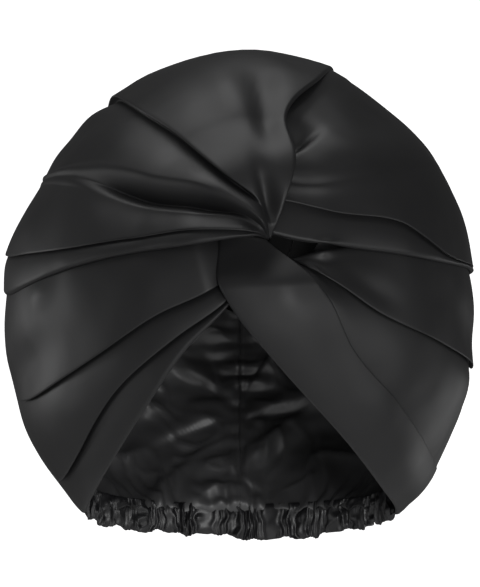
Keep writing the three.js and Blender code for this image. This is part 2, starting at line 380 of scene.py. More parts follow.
@dataclass(frozen=True)
class Fan:
    """Cloth between a first and a last fold line, pleated along the lines between them.

    Args:
        side: which back seam the lines end on.
        lift: how far the fan stands out at a station and a place counted in lines.
        lines: the fold lines from one free edge to the other.
    """

    side: Side
    lift: Callable[[np.ndarray, np.ndarray], np.ndarray]
    lines: tuple[FoldLine, ...]
    # The least breadth of a face in mm, and the most of a face's breadth that half a fold takes.
    NARROWEST = 0.4
    FOLD_SHARE = 0.3
    # The stations between which the puffs come up, and those between which they die out.
    PUFF_START = (5, 30)
    PUFF_FADE = (85, 125)

    def surface(
        self, stations: np.ndarray, per_fold: int = 17, per_face: int = 16
    ) -> tuple[np.ndarray, np.ndarray]:
        """The cloth's outer face as a grid.

        Across a fold, q runs from -1 to 1 while the height eases from one face's to the next one's, and
        sin(pi q), times the roll, pushes the lip over the line and the foot back under it. At a free edge
        the cloth turns in by HEM_DROP.

        Args:
            stations: the stations to read it at.
            per_fold: columns across one fold.
            per_face: columns between two folds.

        Returns:
            the directions and the heights, each with a column along the first axis.
        """
        count = len(self.lines)
        lines = np.array([line.directions(self.side, stations) for line in self.lines])
        points = Ball.place(lines, np.zeros(lines.shape[:2]))
        width = np.maximum(self.NARROWEST, np.linalg.norm(np.diff(points, axis=0), axis=-1))
        half = np.minimum(FOLD_HALF, self.FOLD_SHARE * width)
        columns: list[tuple[np.ndarray, np.ndarray]] = []
        index = np.arange(len(stations))
        nought = np.zeros(len(stations))
        heights = [line.heights(stations) for line in self.lines]
        live = smooth(*self.PUFF_START, stations) * (1 - smooth(*self.PUFF_FADE, stations))

        def face(k: int, f: np.ndarray) -> np.ndarray:
            """The height of the face below a line.

            Args:
                k: which line.
                f: the share of the way to the next line.

            Returns:
                a cubic from the line's height to the next one's, level at a soft line, and the puff on it.
            """
            line, following = self.lines[k], self.lines[k + 1]
            f = np.clip(f, 0, 1)
            leave, meet = float(not line.soft), float(not following.soft)
            rise = (3 - 2 * f) * f * f + leave * f * (1 - f) ** 2 - meet * f * f * (1 - f)
            swell = 16 * (f * (1 - f)) ** 2 if line.soft or following.soft else 4 * f * (1 - f)
            start, stop = heights[k][1], heights[k + 1][0]
            return start + (stop - start) * rise + line.puff * swell * live

        def put(k: int, offset: np.ndarray, height: np.ndarray) -> None:
            """Adds one column.

            Args:
                k: which line.
                offset: how far past the line it is, in mm.
                height: how far it stands out, in mm, before the fan's lift.
            """
            share = np.where(offset >= 0, offset / width[min(k, count - 2)], offset / width[max(k - 1, 0)])
            if k == count - 1:
                base, share = np.full(len(index), count - 2), 1 + share
            else:
                base = np.where((share >= 0) | (k == 0), k, k - 1)
                share = np.where(base == k, share, 1 + share)
            a, b = lines[base, index], lines[base + 1, index]
            columns.append((unit(a + (b - a) * share[:, None]), height + self.lift(stations, base + share)))

        for k, line in enumerate(self.lines):
            w_left, w_right = half[max(k - 1, 0)], half[min(k, count - 2)]
            if k in (0, count - 1):
                turns = np.linspace(0, 1, per_fold // 2)
                for q in turns if k == 0 else turns[::-1]:
                    w, inward = (w_right, 1) if k == 0 else (w_left, -1)
                    offset = inward * w * (1 - math.cos(math.pi * q * 0.5))
                    level = face(0, offset / width[0]) if k == 0 else face(k - 1, 1 + offset / width[k - 1])
                    put(k, offset, level - HEM_DROP * (1 - q) ** 2)
            elif line.single:
                put(k, nought, heights[k][0])
            else:
                roll = line.roll * (1 - smooth(*line.fade, stations)) * smooth(*line.start, stations)
                for q in np.linspace(-1, 1, per_fold):
                    offset = (w_left if q < 0 else w_right) * (q - roll * math.sin(math.pi * q))
                    upper, lower = face(k - 1, 1 + offset / width[k - 1]), face(k, offset / width[k])
                    put(k, offset, upper + (lower - upper) * smooth(-0.7, 0.7, q))
            if k < count - 1:
                first = nought if line.single else w_right
                last = nought if self.lines[k + 1].single else half[k]
                for f in np.linspace(0, 1, per_face + 2)[1:-1]:
                    offset = first + (width[k] - first - last) * f
                    put(k, offset, face(k, offset / width[k]))
        return np.array([c[0] for c in columns]), np.array([c[1] for c in columns])


@dataclass(frozen=True)
class Dent:
    """A place where the cloth is pressed in or stands out.

    Args:
        distance: degrees from the knot.
        angle: degrees around it.
        length: how far it reaches away from the knot, in mm.
        breadth: how far it reaches across, in mm.
        height: how far it stands out, in mm, and in if it is below 0.
        turn: how far its length is turned anticlockwise from the line to the knot, in degrees.
        crease: how much steeper its clockwise side is, from 0 to just under 1, or its other side below 0.
    """

    distance: float
    angle: float
    length: float
    breadth: float
    height: float
    turn: float = 0.0
    crease: float = 0.0
    SWAY = 0.6

    def at(self, direction: np.ndarray) -> np.ndarray:
        """Its height at directions.

        Args:
            direction: unit vectors along the last axis.

        Returns:
            a bell: its height times e to minus the sum of the squared shares of its length and breadth. The
            breadth changes from one side's to the other's within about SWAY mm.
        """
        middle = around_knot(np.array(self.distance), np.array(self.angle))
        away = unit(middle * (KNOT_AXIS @ middle) - KNOT_AXIS)
        side = np.cross(middle, away)
        c, s = math.cos(math.radians(self.turn)), math.sin(math.radians(self.turn))
        apart = (direction - middle) * RADIUS
        along, across = apart @ (c * away + s * side), apart @ (c * side - s * away)
        breadth = self.breadth * (1 + self.crease * np.tanh(across / self.SWAY))
        return self.height * np.exp(-((along / self.length) ** 2) - (across / breadth) ** 2)


def upper_lift(t: np.ndarray, place: np.ndarray) -> np.ndarray:
    """The left wrap's upper part stands over the right wrap's bend, and goes in at the knot.

    Args:
        t: stations.
        place: counted in fold lines; not used.

    Returns:
        heights in mm.
    """
    return KNOT_LIFT * (1 - smooth(17, 36, t)) - 0.9 * KNOT_TUCK * (1 - smooth(0, 4, t))


def lower_lift(t: np.ndarray, place: np.ndarray) -> np.ndarray:
    """The left wrap's lower part goes in under the front band.

    Args:
        t: stations.
        place: counted in fold lines; not used.

    Returns:
        heights in mm.
    """
    return -KNOT_TUCK * (1 - smooth(12, 22, t))


def under_lift(t: np.ndarray, place: np.ndarray) -> np.ndarray:
    """The right wrap's upper part lies under the crown near the knot.

    Args:
        t: stations.
        place: counted in fold lines.

    Returns:
        heights in mm.
    """
    hidden = 0.6 * UNDER * smooth(20, 36, t) * (1 - smooth(42, 68, t)) * (1 - smooth(0.9, 1.8, place))
    return -UNDER * (1 - smooth(20, 40, t)) - hidden


def front_lift(t: np.ndarray, place: np.ndarray) -> np.ndarray:
    """The front band stands over the left wrap's lower part, and its start is tucked under the upper part.

    Args:
        t: stations.
        place: counted in fold lines.

    Returns:
        heights in mm.
    """
    over = 0.8 * KNOT_LIFT * (1 - smooth(20, 48, t)) * smooth(1.0, 2.2, place)
    under = UNDER * (1 - smooth(24, 44, t)) * (1 - smooth(0.2, 1.1, place))
    return over - under - (KNOT_TUCK + 3) * (1 - smooth(0, 16, t))


# Each fold line has its name, at, end, before, after and fade, and then roll, start and puff where they
# aren't the usual ones.
LEFT_UPPER = Fan(
    Side.LEFT,
    upper_lift,
    (
        FoldLine("crown edge", (60, 68, 71, 79.5, 70, 66), -0.03, 0, 0.6, (80, 110), puff=0.6),
        FoldLine(
            "crown over band",
            (110, 108, 124, 125, 126, 123),
            0.33, 0.6, -0.7, (95, 130), start=(6, 15),
        ),
        FoldLine(
            "band over pocket",
            (140, 133, 140.5, 146, 147, 149),
            0.48, 1.15, 1.15, (36, 68), 0, (0, 5),
        ),
        FoldLine(
            "pocket floor",
            (152, 142, 153, 155.5, 153, 151),
            0.51, -2.1, -2.1, (34, 64), 0.5, (6, 18), 0.4,
        ),
        FoldLine(
            "pocket rim",
            (160, 150, 162, 161.5, 157, 153),
            0.54, 0.1, 0.1, (36, 64), 0, (10, 25), 0.3,
        ),
        FoldLine(
            "ridge over strip",
            (174, 171, 173.5, 175, 175.5, 172.5),
            0.65, 0.8, 0.3, (95, 128), start=(1, 8),
        ),
        FoldLine("strip over side", (184, 184, 184.5, 182, 182, 182), 0.7, 0.6, 0, (95, 128), start=(0, 5)),
    ),
)
LEFT_LOWER = Fan(
    Side.LEFT,
    lower_lift,
    (
        FoldLine("tucked top", (170, 168, 166, 170, 172, 172), 0.66, 0, -0.5, (95, 128)),
        FoldLine("side over lower", (220, 222, 218, 211, 210, 208), 0.84, 0.5, -0.35, (98, 130)),
        FoldLine("lower over hem", (250, 238, 232, 224, 221.5, 225), 0.95, 0.5, -0.35, (98, 130)),
        FoldLine("hem edge", (262, 242, 237, 231.5, 232, 233), 1.0, 0.5, 0, (98, 130)),
    ),
)
RIGHT_UPPER = Fan(
    Side.RIGHT,
    under_lift,
    (
        FoldLine(
            "hidden edge",
            ((30, 118), (28, 112), (30, 95), (38, 88), 80, 75),
            -0.02, 0, -0.75, (125, 140),
        ),
        FoldLine(
            "by the crown",
            ((26, 108), (24, 95), (26, 73), (36, 73), 66, 62),
            0.2, -0.7, -0.7, (90, 125), 0, (20, 38), 0.2,
        ),
        FoldLine(
            "upper crest",
            ((23, 108), (20, 82), (22, 58), 43, 34, 31),
            0.48, 0.06, 0.06, (60, 90), 0, (0, 1), 0.1,
        ),
        FoldLine(
            "upper hollow",
            ((19, 108), (17.5, 78), (21, 51), 34, 29, 28),
            0.53, -0.08, -0.08, (45, 75), 0, (0, 1), 0.4,
        ),
        FoldLine(
            "upper over middle",
            ((13, 108), (12.2, 66), (20, 25.5), 13, 2.5, 4.5),
            0.66, 0.45, -0.1, (90, 122), start=(0, 1),
        ),
        FoldLine(
            "middle over side",
            ((2, 70), (8, 2), 357.5, 357.5, 359.5, 3),
            0.7, 0.4, 0, (95, 128), start=(0, 1),
        ),
    ),
)
RIGHT_LOWER = Fan(
    Side.RIGHT,
    front_lift,
    (
        FoldLine(
            "tucked top",
            ((1, 320), (5.7, 321), (12.5, 349), (32, 4), 7, 10),
            0.66, 0, -0.8, (95, 128),
        ),
        FoldLine(
            "side over middle",
            ((2.4, 307), (10, 325), 328.5, 330, 335.5, 340),
            0.82, 0.4, -0.3, (98, 130),
        ),
        FoldLine(
            "band over middle",
            ((1.2, 150), (8.5, 315), 312.5, 308, 312, 315),
            0.93, -0.35, 0.3, (98, 130), start=(0, 10), puff=3,
        ),
        FoldLine(
            "front edge",
            ((14, 166), (16, 205), (20, 236), (33, 274), (55, 293), (80, 301.5)),
            1.0, -0.7, 0, (28, 60), start=(-1, 0),
        ),
    ),
)


def grid_normals(points: np.ndarray) -> np.ndarray:
    """A grid's normals.

    Args:
        points: the grid, columns first.

    Returns:
        the cross product of the grid's two slopes at each point, at length 1, facing away from CENTRE.
    """
    across = np.gradient(points, axis=0)
    along = np.gradient(points, axis=1)
    normal = np.cross(across, along)
    normal = normal / np.maximum(np.linalg.norm(normal, axis=-1, keepdims=True), 1e-9)
    return normal * np.sign(np.sum(np.sum(normal * (points - CENTRE), axis=-1)))


def grid_faces(rows: int, cols: int, first: int) -> np.ndarray:
    """The quads of a grid.

    Args:
        rows: how many points on the first axis.
        cols: how many on the second.
        first: the index of its first point.

    Returns:
        four indices for each quad.
    """
    i = np.arange(rows - 1)[:, None] * cols + np.arange(cols - 1)[None, :] + first
    return np.stack([i, i + 1, i + cols + 1, i + cols], axis=-1).reshape(-1, 4)


@dataclass
class ClothMesh:
    """A mesh made of thin grids of cloth.

    Args:
        name: the object's name.
        points: its vertices, one array for each face of a sheet.
        faces: its quads, as indices of vertices.
        uvs: each vertex's place on the flat cloth, in metres.
        inside: for each quad, 1 if it is on the inner side.
        count: how many vertices it has.
    """

    name: str
    points: list[np.ndarray] = field(default_factory=list)
    faces: list[np.ndarray] = field(default_factory=list)
    uvs: list[np.ndarray] = field(default_factory=list)
    inside: list[np.ndarray] = field(default_factory=list)
    count: int = 0

    def add_sheet(self, outer: np.ndarray, thick: float = CLOTH_THICK) -> None:
        """Adds one sheet, closed all round.

        Args:
            outer: its outer face, a grid with columns first.
            thick: its thickness.
        """
        rows, cols = outer.shape[:2]
        normal = grid_normals(outer)
        inner = outer - normal * thick
        size = rows * cols
        out_faces = grid_faces(rows, cols, self.count)
        in_faces = grid_faces(rows, cols, self.count + size)[:, ::-1]
        rim = np.concatenate(
            [
                np.arange(cols),
                np.arange(1, rows) * cols + cols - 1,
                (rows - 1) * cols + np.arange(cols - 2, -1, -1),
                np.arange(rows - 2, 0, -1) * cols,
            ]
        )
        after = np.roll(rim, -1)
        rim_faces = np.stack([rim, rim + size, after + size, after], axis=-1) + self.count
        mid = (rows // 2, cols // 2)
        step_a = outer[mid[0] + 1, mid[1]] - outer[mid]
        step_b = outer[mid[0], mid[1] + 1] - outer[mid]
        outward = np.cross(step_b, step_a) @ normal[mid] > 0
        turned = [out_faces, in_faces, rim_faces]
        self.faces += turned if outward else [f[:, ::-1] for f in turned]
        self.points += [outer.reshape(-1, 3), inner.reshape(-1, 3)]
        self.inside += [np.full(len(f), f is in_faces, dtype=np.int32) for f in turned]
        across = np.cumsum(np.linalg.norm(np.diff(outer, axis=0, prepend=outer[:1]), axis=-1), axis=0)
        along = np.cumsum(np.linalg.norm(np.diff(outer, axis=1, prepend=outer[:, :1]), axis=-1), axis=1)
        uv = np.stack([across, along], axis=-1).reshape(-1, 2) * MM
        self.uvs += [uv, uv]
        self.count += 2 * size

    def build(self, *finishes: bpy.types.Material) -> bpy.types.Object:
        """Makes the object.

        Args:
            finishes: its finish, and the one of its inner side if that differs.

        Returns:
            the new object, at the frame's origin.
        """
        points = np.concatenate(self.points) * MM
        faces = np.concatenate(self.faces)
        mesh = bpy.data.meshes.new(self.name)
        mesh.vertices.add(len(points))
        mesh.vertices.foreach_set("co", points.ravel())
        mesh.loops.add(faces.size)
        mesh.loops.foreach_set("vertex_index", faces.ravel().astype(np.int32))
        mesh.polygons.add(len(faces))
        mesh.polygons.foreach_set("loop_start", np.arange(0, faces.size, 4, dtype=np.int32))
        mesh.polygons.foreach_set("loop_total", np.full(len(faces), 4, dtype=np.int32))
        mesh.polygons.foreach_set("use_smooth", np.ones(len(faces), dtype=bool))
        layer = mesh.uv_layers.new(name="cloth")
        layer.data.foreach_set("uv", np.concatenate(self.uvs)[faces.ravel()].ravel())
        for finish in finishes:
            mesh.materials.append(finish)
        if len(finishes) > 1:
            mesh.polygons.foreach_set("material_index", np.concatenate(self.inside))
        mesh.update()
        mesh.validate()
        piece = bpy.data.objects.new(self.name, mesh)
        bpy.context.scene.collection.objects.link(piece)
        return piece


def linear(hex_colour: str) -> tuple[float, float, float, float]:
    """A screen colour as the renderer's.

    Args:
        hex_colour: six hex digits after a #.

    Returns:
        linear red, green and blue, and 1.
    """
    parts = [int(hex_colour[i : i + 2], 16) / 255 for i in (1, 3, 5)]
    return (*(p / 12.92 if p <= 0.04045 else ((p + 0.055) / 1.055) ** 2.4 for p in parts), 1.0)


def add_node(tree: bpy.types.NodeTree, kind: str, **inputs: object) -> bpy.types.Node:
    """Adds a shader node.

    Args:
        tree: the material's nodes.
        kind: the node's type.
        inputs: values for its sockets, by socket name with spaces as underscores.

    Returns:
        the new node.
    """
    node = tree.nodes.new(kind)
    for name, value in inputs.items():
        node.inputs[name.replace("_", " ")].default_value = value
    return node


@dataclass(frozen=True)
class Satin:
    """A satin finish.

    Args:
        name: the material's name.
        colour: its base colour, which is painted light on the back's inside and painted shade on the wraps'
            inner side.
        sheen: how glossy it is.
        gloss: the strength of the gloss.
        pucker: the height of its fine unevenness, in mm.
    """

    name: str
    colour: str
    sheen: Sheen
    gloss: float = 0.5
    pucker: float = 0.15
    # How many rises it has to a metre, so one in about 26 mm. The weave is too fine to show at this size,
    # and only the cloth's slow unevenness is drawn.
    RISES = 38.0

    def build(self) -> bpy.types.Material:
        """Makes the material.

        Returns:
            a dark cloth with a broad gloss and a fine unevenness.
        """
        material = bpy.data.materials.new(self.name)
        material.use_nodes = True
        tree = material.node_tree
        shader = tree.nodes["Principled BSDF"]
        shader.inputs["Base Color"].default_value = linear(self.colour)
        shader.inputs["Roughness"].default_value = self.sheen.value
        shader.inputs["Specular IOR Level"].default_value = self.gloss
        coords = add_node(tree, "ShaderNodeTexCoord")
        noise = add_node(tree, "ShaderNodeTexNoise", Scale=self.RISES, Detail=3.0, Roughness=0.5)
        bump = add_node(tree, "ShaderNodeBump", Strength=1.0, Distance=self.pucker * MM)
        tree.links.new(coords.outputs["Object"], noise.inputs["Vector"])
        tree.links.new(noise.outputs["Fac"], bump.inputs["Height"])
        tree.links.new(bump.outputs["Normal"], shader.inputs["Normal"])
        return material


# The rows of a wrap, closest near the knot.
WRAP_STATIONS = np.concatenate(
    [
        np.linspace(STATIONS[0], 30, 74),
        np.linspace(30, 95, 90)[1:],
        np.linspace(95, SEAM_STATION, 40)[1:],
    ]
)

# The hollow over the knot, the crown's stripe and lights, the bulges of the outline.
LEFT_DENTS = (
    Dent(9, 96, 18, 5, -6.0, 6, -0.3),
    Dent(44, 101, 34, 9, 2.5),
    Dent(66, 77, 24, 14, -2.5),
    Dent(80, 98, 45, 42, -2.2),
    Dent(31, 89, 17, 7, -2.0),
    Dent(44, 88, 34, 8, -3.5),
    Dent(86, 201, 45, 16, -5.0),
    Dent(84, 130, 22, 13, 2.5),
    Dent(95, 170, 20, 14, 2.0),
    Dent(69, 186, 11, 6, 1.8),
    Dent(109, 233.8, 20, 13, 2.5),
)

# The oval by the knot, the wedge beside the crown, the broad hollows and bulges of the side.
RIGHT_DENTS = (
    Dent(15, 352, 7, 5, 3.5, 20),
    Dent(100, 305.6, 20, 13, 2.5),
    Dent(31, 71, 13, 8, -8.0, -28, 0.6),
    Dent(20, 56, 16, 6, -1.8, -57),
    Dent(14, 285, 15, 10, 2.0),
    Dent(60, 48, 42, 25, -3.6),
    Dent(77, 335, 24, 12, 2.0),
    Dent(77, 346, 40, 14, -2.8),
    Dent(31, 337, 20, 7, -1.2),
)

# The unevenness of the cloth on the ball: each layer with its height in mm.
WAVES = ((Crumple(3, 30.0), 1.1), (Crumple(8, 13.0), 0.25))


def waves(direction: np.ndarray) -> np.ndarray:
    """The unevenness that all the cloth on the ball shares.

    Args:
        direction: unit vectors along the last axis.

    Returns:
        heights in mm.
    """
    return sum(height * wave.at(direction * RADIUS) for wave, height in WAVES)


@dataclass(frozen=True)
class Wrap:
    """One of the two crossing wraps.

    Args:
        node: the CAD node it stands for.
        upper: its part above the knot.
        lower: its part below the knot.
        dents: where it is pressed in or stands out.
        flat: the width and length of the cloth it is cut from, in metres; not used.
    """

    node: str
    upper: Fan
    lower: Fan
    dents: tuple[Dent, ...]
    flat: tuple[float, float]

    def build(self, outer: bpy.types.Material, inner: bpy.types.Material) -> bpy.types.Object:
        """Makes the wrap.

        Args:
            outer: the finish of its outer side.
            inner: the finish of its inner side.

        Returns:
            the object.
        """
        mesh = ClothMesh(f"satin_{self.node}")
        for fan in (self.upper, self.lower):
            direction, height = fan.surface(WRAP_STATIONS)
            height = height + sum(dent.at(direction) for dent in self.dents)
            mesh.add_sheet(Ball.place(direction, height + waves(direction)))
        piece = mesh.build(outer, inner)
        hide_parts(self.node)
        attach(piece, "root")
        return piece


def band_at(share: np.ndarray, up: np.ndarray, out: np.ndarray) -> np.ndarray:
    """Points on the nape band.

    Args:
        share: 0 at the left ear, 1 at the right one.
        up: height above its lower edge.
        out: distance outside its middle.

    Returns:
        half an ellipse in plan, whose ends are BAND_RISE higher than its middle.
    """
    turn = math.pi * np.asarray(share, float)
    c, s = np.cos(turn), np.sin(turn)
    normal = unit(np.stack([-c * BAND_DEPTH, s * BAND_HALF_WIDTH, np.zeros_like(c)], axis=-1))
    base = np.stack([-BAND_HALF_WIDTH * c, BAND_START + BAND_DEPTH * s, BAND_RISE * (1 - s) + up], axis=-1)
    return base + normal * np.asarray(out)[..., None]


@dataclass(frozen=True)
class Ridge:
    """A long fold of the back that stands towards the inside.

    Args:
        x: the place of its middle across, in mm.
        z: the height of its middle, in mm.
        length: how far it reaches along, in mm.
        breadth: how far it reaches across, in mm.
        height: how far it stands in, in mm.
        turn: how far its length is turned up from +X, in degrees.
        crease: how much steeper its lower side is, from 0 to just under 1, or its upper side below 0.
    """

    x: float
    z: float
    length: float
    breadth: float
    height: float
    turn: float
    crease: float = 0.0
    SWAY = 0.8

    def at(self, x: np.ndarray, z: np.ndarray) -> np.ndarray:
        """Its height at places of the back.

        Args:
            x: places across, in mm.
            z: their heights, in mm.

        Returns:
            its height times e to minus the fourth power of the share of its length and the square of the
            share of its breadth. The breadth changes from one side's to the other's within about SWAY mm.
        """
        c, s = math.cos(math.radians(self.turn)), math.sin(math.radians(self.turn))
        along = (x - self.x) * c + (z - self.z) * s
        across = (z - self.z) * c - (x - self.x) * s
        breadth = self.breadth * (1 + self.crease * np.tanh(across / self.SWAY))
        return self.height * np.exp(-((along / self.length) ** 4) - (across / breadth) ** 2)


# The folds that the inside shows through the face opening.
RIDGES = (
    Ridge(-27.5, 55.3, 20, 4.5, 4.5, 19, 0.5),
    Ridge(-19.0, 68.6, 11, 3.5, 3.5, 6, -0.4),
    Ridge(-19.4, 81.5, 16, 4.0, 4.0, -21, 0.5),
    Ridge(-32.0, 31.0, 20, 5.0, 3.5, 35, -0.4),
    Ridge(19.0, 66.4, 22, 4.0, 4.5, 14, 0.6),
    Ridge(20.5, 48.5, 28, 6.0, 6.0, 32, 0.5),
    Ridge(2.0, 32.0, 12, 3.5, 3.5, -25, 0.5),
    Ridge(50.0, 36.0, 17, 4.5, 3.5, -80, 0.4),
    Ridge(14.0, 88.0, 13, 4.0, 3.5, 60, -0.5),
)


@dataclass(frozen=True)
class BackPanel:
    """Half of the back.

    Args:
        side: which half.
        flat: the width and length of the cloth it is cut from, in metres; not used.
    """

    side: Side
    flat: tuple[float, float]
    # How many points its grid has, across and down.
    ACROSS = 160
    DOWN = 150
    # How far it lies under the wraps' outer face, and how much further by the middle seam's top, in mm.
    GAP = 1.2
    TOP_GAP = 2.6
    # How far it goes on under the wraps, as shares of its length and of its breadth.
    ABOVE = 0.25
    PAST = 0.08
    # Where on the back seam its outer side starts, and how much of that seam it takes.
    SEAM_START = 0.1
    SEAM_RUN = 0.89
    # How high up the nape band its foot lies and how far outside the band's middle, and how far it goes
    # past the middle of the back, in mm.
    FOOT_UP = BAND_HEIGHT - 4
    FOOT_OUT = -0.5
    OVERLAP = 0.4
    # What makes the folds wander, the folds with their depths in mm, and the puckers along the middle seam.
    BENDS = (Crumple(21, 26.0), Crumple(22, 26.0), Crumple(23, 26.0))
    FOLDS = ((Crumple(31, 30.0), 7.0), (Crumple(34, 15.0), 3.0))
    PUCKERS = Crumple(41, 4.5)
    # How much of a ridge's height is used, and how far the ridges wander, in mm.
    RIDGE_SHARE = 0.65
    WANDER = 3.0

    def grid(self) -> np.ndarray:
        """Its outer face.

        Each line across runs straight from the middle seam to the wrap's end. Lower down, the directions
        and the radius ease over to those of the nape band.

        Returns:
            a grid whose lines across fan out from where the seams meet, and whose last lies on the band.
        """
        u = np.linspace(0, 1, self.ACROSS)[:, None]
        v = np.linspace(0, 1, self.DOWN)[None, :]
        top = seam_at(self.side, 0)[0]
        foot_dir = unit(band_at(0.5, self.FOOT_UP, self.FOOT_OUT) - CENTRE)
        middle = unit(top + (foot_dir - top) * ((1 + self.ABOVE) * v - self.ABOVE)[..., None])
        edge = seam_at(self.side, self.SEAM_START + self.SEAM_RUN * v.ravel())[None, :, :]
        along_band = 0.5 + self.side.value * 0.5 * u
        foot = band_at(along_band, self.FOOT_UP, np.full_like(u, self.FOOT_OUT)) - CENTRE
        low = (smooth(0.35, 1, v) * (1 - u**3))[..., None]
        direction = unit(middle + (edge - middle) * (u * (1 + self.PAST))[..., None])
        direction = unit(direction + (unit(foot) - direction) * low)
        sunk = self.GAP + self.TOP_GAP * (1 - smooth(0.25, 0.5, v)) * (1 - smooth(0.25, 0.6, u))
        on_ball = Ball.radius(direction) + waves(direction) - sunk
        radius = on_ball + (np.linalg.norm(foot, axis=-1) - on_ball) * smooth(0.62, 1, v) * (1 - u**3)
        points = direction * radius[..., None] + CENTRE
        points = points + direction * self._creases(points, u, v)[..., None]
        points[0, :, 0] = -self.OVERLAP * self.side.value
        return points

    def _creases(self, points: np.ndarray, u: np.ndarray, v: np.ndarray) -> np.ndarray:
        """How far the satin is creased in or out.

        Args:
            points: where on the panel.
            u: 0 at the middle seam, 1 at the wrap.
            v: 0 at the top of the panel, 1 at the band.

        Returns:
            heights in mm: folds, whose sharp tops stand in where wandering random heights are 0, the
            ridges, puckers that run out from the middle seam, and gathers, which are a sine of the angle
            round the back and run up from the band.
        """
        x, z = points[..., 0], points[..., 2]
        seam = np.abs(x)
        bend = np.stack([wave.at(points * (1, 0.3, 1)) for wave in self.BENDS], axis=-1)
        bent = points * (1, 0.3, 1.25) + 16 * bend
        folds = np.zeros_like(x)
        for wave, deep in self.FOLDS:
            level = wave.at(bent)
            top = 0.12 * deep * np.exp(-((level / 0.07) ** 2))
            folds = folds + deep * (np.sqrt(level**2 + 0.001) - 0.4) - top
        folds = np.where(folds > 0, 0.4, 1.0) * folds * smooth(0, 14, seam)
        bent_x, bent_z = x + self.WANDER * bend[..., 0], z + self.WANDER * bend[..., 1]
        ridges = sum(ridge.at(bent_x, bent_z) for ridge in RIDGES)
        folds = folds - ridges * self.RIDGE_SHARE * smooth(0, 5, seam)
        folds = folds * (1 - smooth(0.8, 1, v)) * (1 - smooth(0.7, 0.95, u))
        pucker = self.PUCKERS.at(np.stack([0.35 * x, np.zeros_like(x), z], axis=-1) + 3 * bend)
        puckers = 2.6 * pucker * np.exp(-seam / 16) - 2.0 * np.exp(-seam / 3.5)
        angle = np.arctan2(x, points[..., 1])
        gather = np.sin(46 * angle + 2.5 * np.sin(9 * angle) + z / 15 + 2 * bend[..., 0])
        gathers = 1.3 * gather * smooth(0.6, 0.95, v) * smooth(0, 6, seam)
        return folds + puckers * (1 - smooth(0.9, 1, v)) + gathers

    def build(self, outer: bpy.types.Material, inner: bpy.types.Material) -> bpy.types.Object:
        """Makes the half.

        Args:
            outer: the finish of its outer side.
            inner: the finish of its inner side.

        Returns:
            the object.
        """
        node = f"back_panel_{self.side.name.lower()}"
        mesh = ClothMesh(f"satin_{node}")
        mesh.add_sheet(self.grid())
        piece = mesh.build(outer, inner)
        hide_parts(node)
        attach(piece, "root")
        return piece


@dataclass(frozen=True)
class NapeBand:
    """The ruffled casing of the elastic.

    Args:
        ruffles: how many gathers it has.
        depth: how deep they are, in mm.
        flare: how far it stands out at the ears, in mm.
        sag: how much lower its edge hangs right of its middle, in mm.
    """

    ruffles: int = 34
    depth: float = 1.5
    flare: float = 2.2
    sag: float = 3.0
    # How many points its grid has, from ear to ear and round the tube.
    ALONG = 1100
    ROUND = 41

    def build(self, finish: bpy.types.Material) -> bpy.types.Object:
        """Makes the casing.

        It is a flat tube. Sines of unlike lengths make its gathers lean and swell unevenly, and make its
        lower edge rise and fall.

        Args:
            finish: its material.

        Returns:
            the object.
        """
        share = np.linspace(-0.01, 1.01, self.ALONG)[:, None]
        turn = np.linspace(0, 2 * math.pi, self.ROUND)[None, :]
        up = BAND_HEIGHT * (0.5 - 0.5 * np.cos(turn))
        out = 0.5 * BAND_THICK * np.sin(turn)
        lean = 1.3 * np.sin(up * 0.33 + share * 29) + 0.7 * np.sin(up * 0.8 - share * 61)
        uneven = 2.2 * np.sin(share * 37) + 1.6 * np.sin(share * 83)
        phase = share * self.ruffles * 2 * math.pi + uneven + lean
        fine = np.sin(2.7 * phase + 1.9 * np.sin(share * 47) - 1.4 * lean)
        swell = 0.65 + 0.35 * np.sin(share * 51 + 1.0)
        wave = self.depth * swell * (np.sin(phase) + 0.3 * fine)
        flare = self.flare * np.exp(-((np.minimum(share, 1 - share) / 0.03) ** 2))
        sag = self.sag * np.exp(-(((share - 0.6) / 0.12) ** 2))
        edge = 0.7 * np.sin(0.5 * phase + 0.9) + 0.9 * np.sin(0.21 * phase) + 0.15 * fine
        up = up + (edge - sag) * (1 - up / BAND_HEIGHT)
        points = band_at(np.broadcast_to(share, up.shape), up, out + wave + flare)
        mesh = ClothMesh("satin_nape_band")
        rows, cols = points.shape[:2]
        mesh.points = [points.reshape(-1, 3)]
        mesh.faces = [grid_faces(rows, cols, 0)]
        mesh.uvs = [np.stack(np.broadcast_arrays(share, turn), axis=-1).reshape(-1, 2)]
        piece = mesh.build(finish)
        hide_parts("nape_band")
        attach(piece, "root")
        return piece


@dataclass(frozen=True)
class Softbox:
    """A soft light.

    Args:
        place: where it stands, in metres.
        size: its width and height, in metres.
        power: watts.
    """

    place: tuple[float, float, float]
    size: tuple[float, float]
    power: float

    def build(self) -> None:
        """Makes the light, turned to the turban."""
        lamp = bpy.data.lights.new("softbox", "AREA")
        lamp.shape = "RECTANGLE"
        lamp.size, lamp.size_y = self.size
        lamp.energy = self.power
        holder = bpy.data.objects.new("softbox", lamp)
        holder.location = self.place
        aim = Vector((0, 0, RADIUS * MM)) - Vector(self.place)
        holder.rotation_euler = aim.to_track_quat("-Z", "Y").to_euler()
        bpy.context.scene.collection.objects.link(holder)


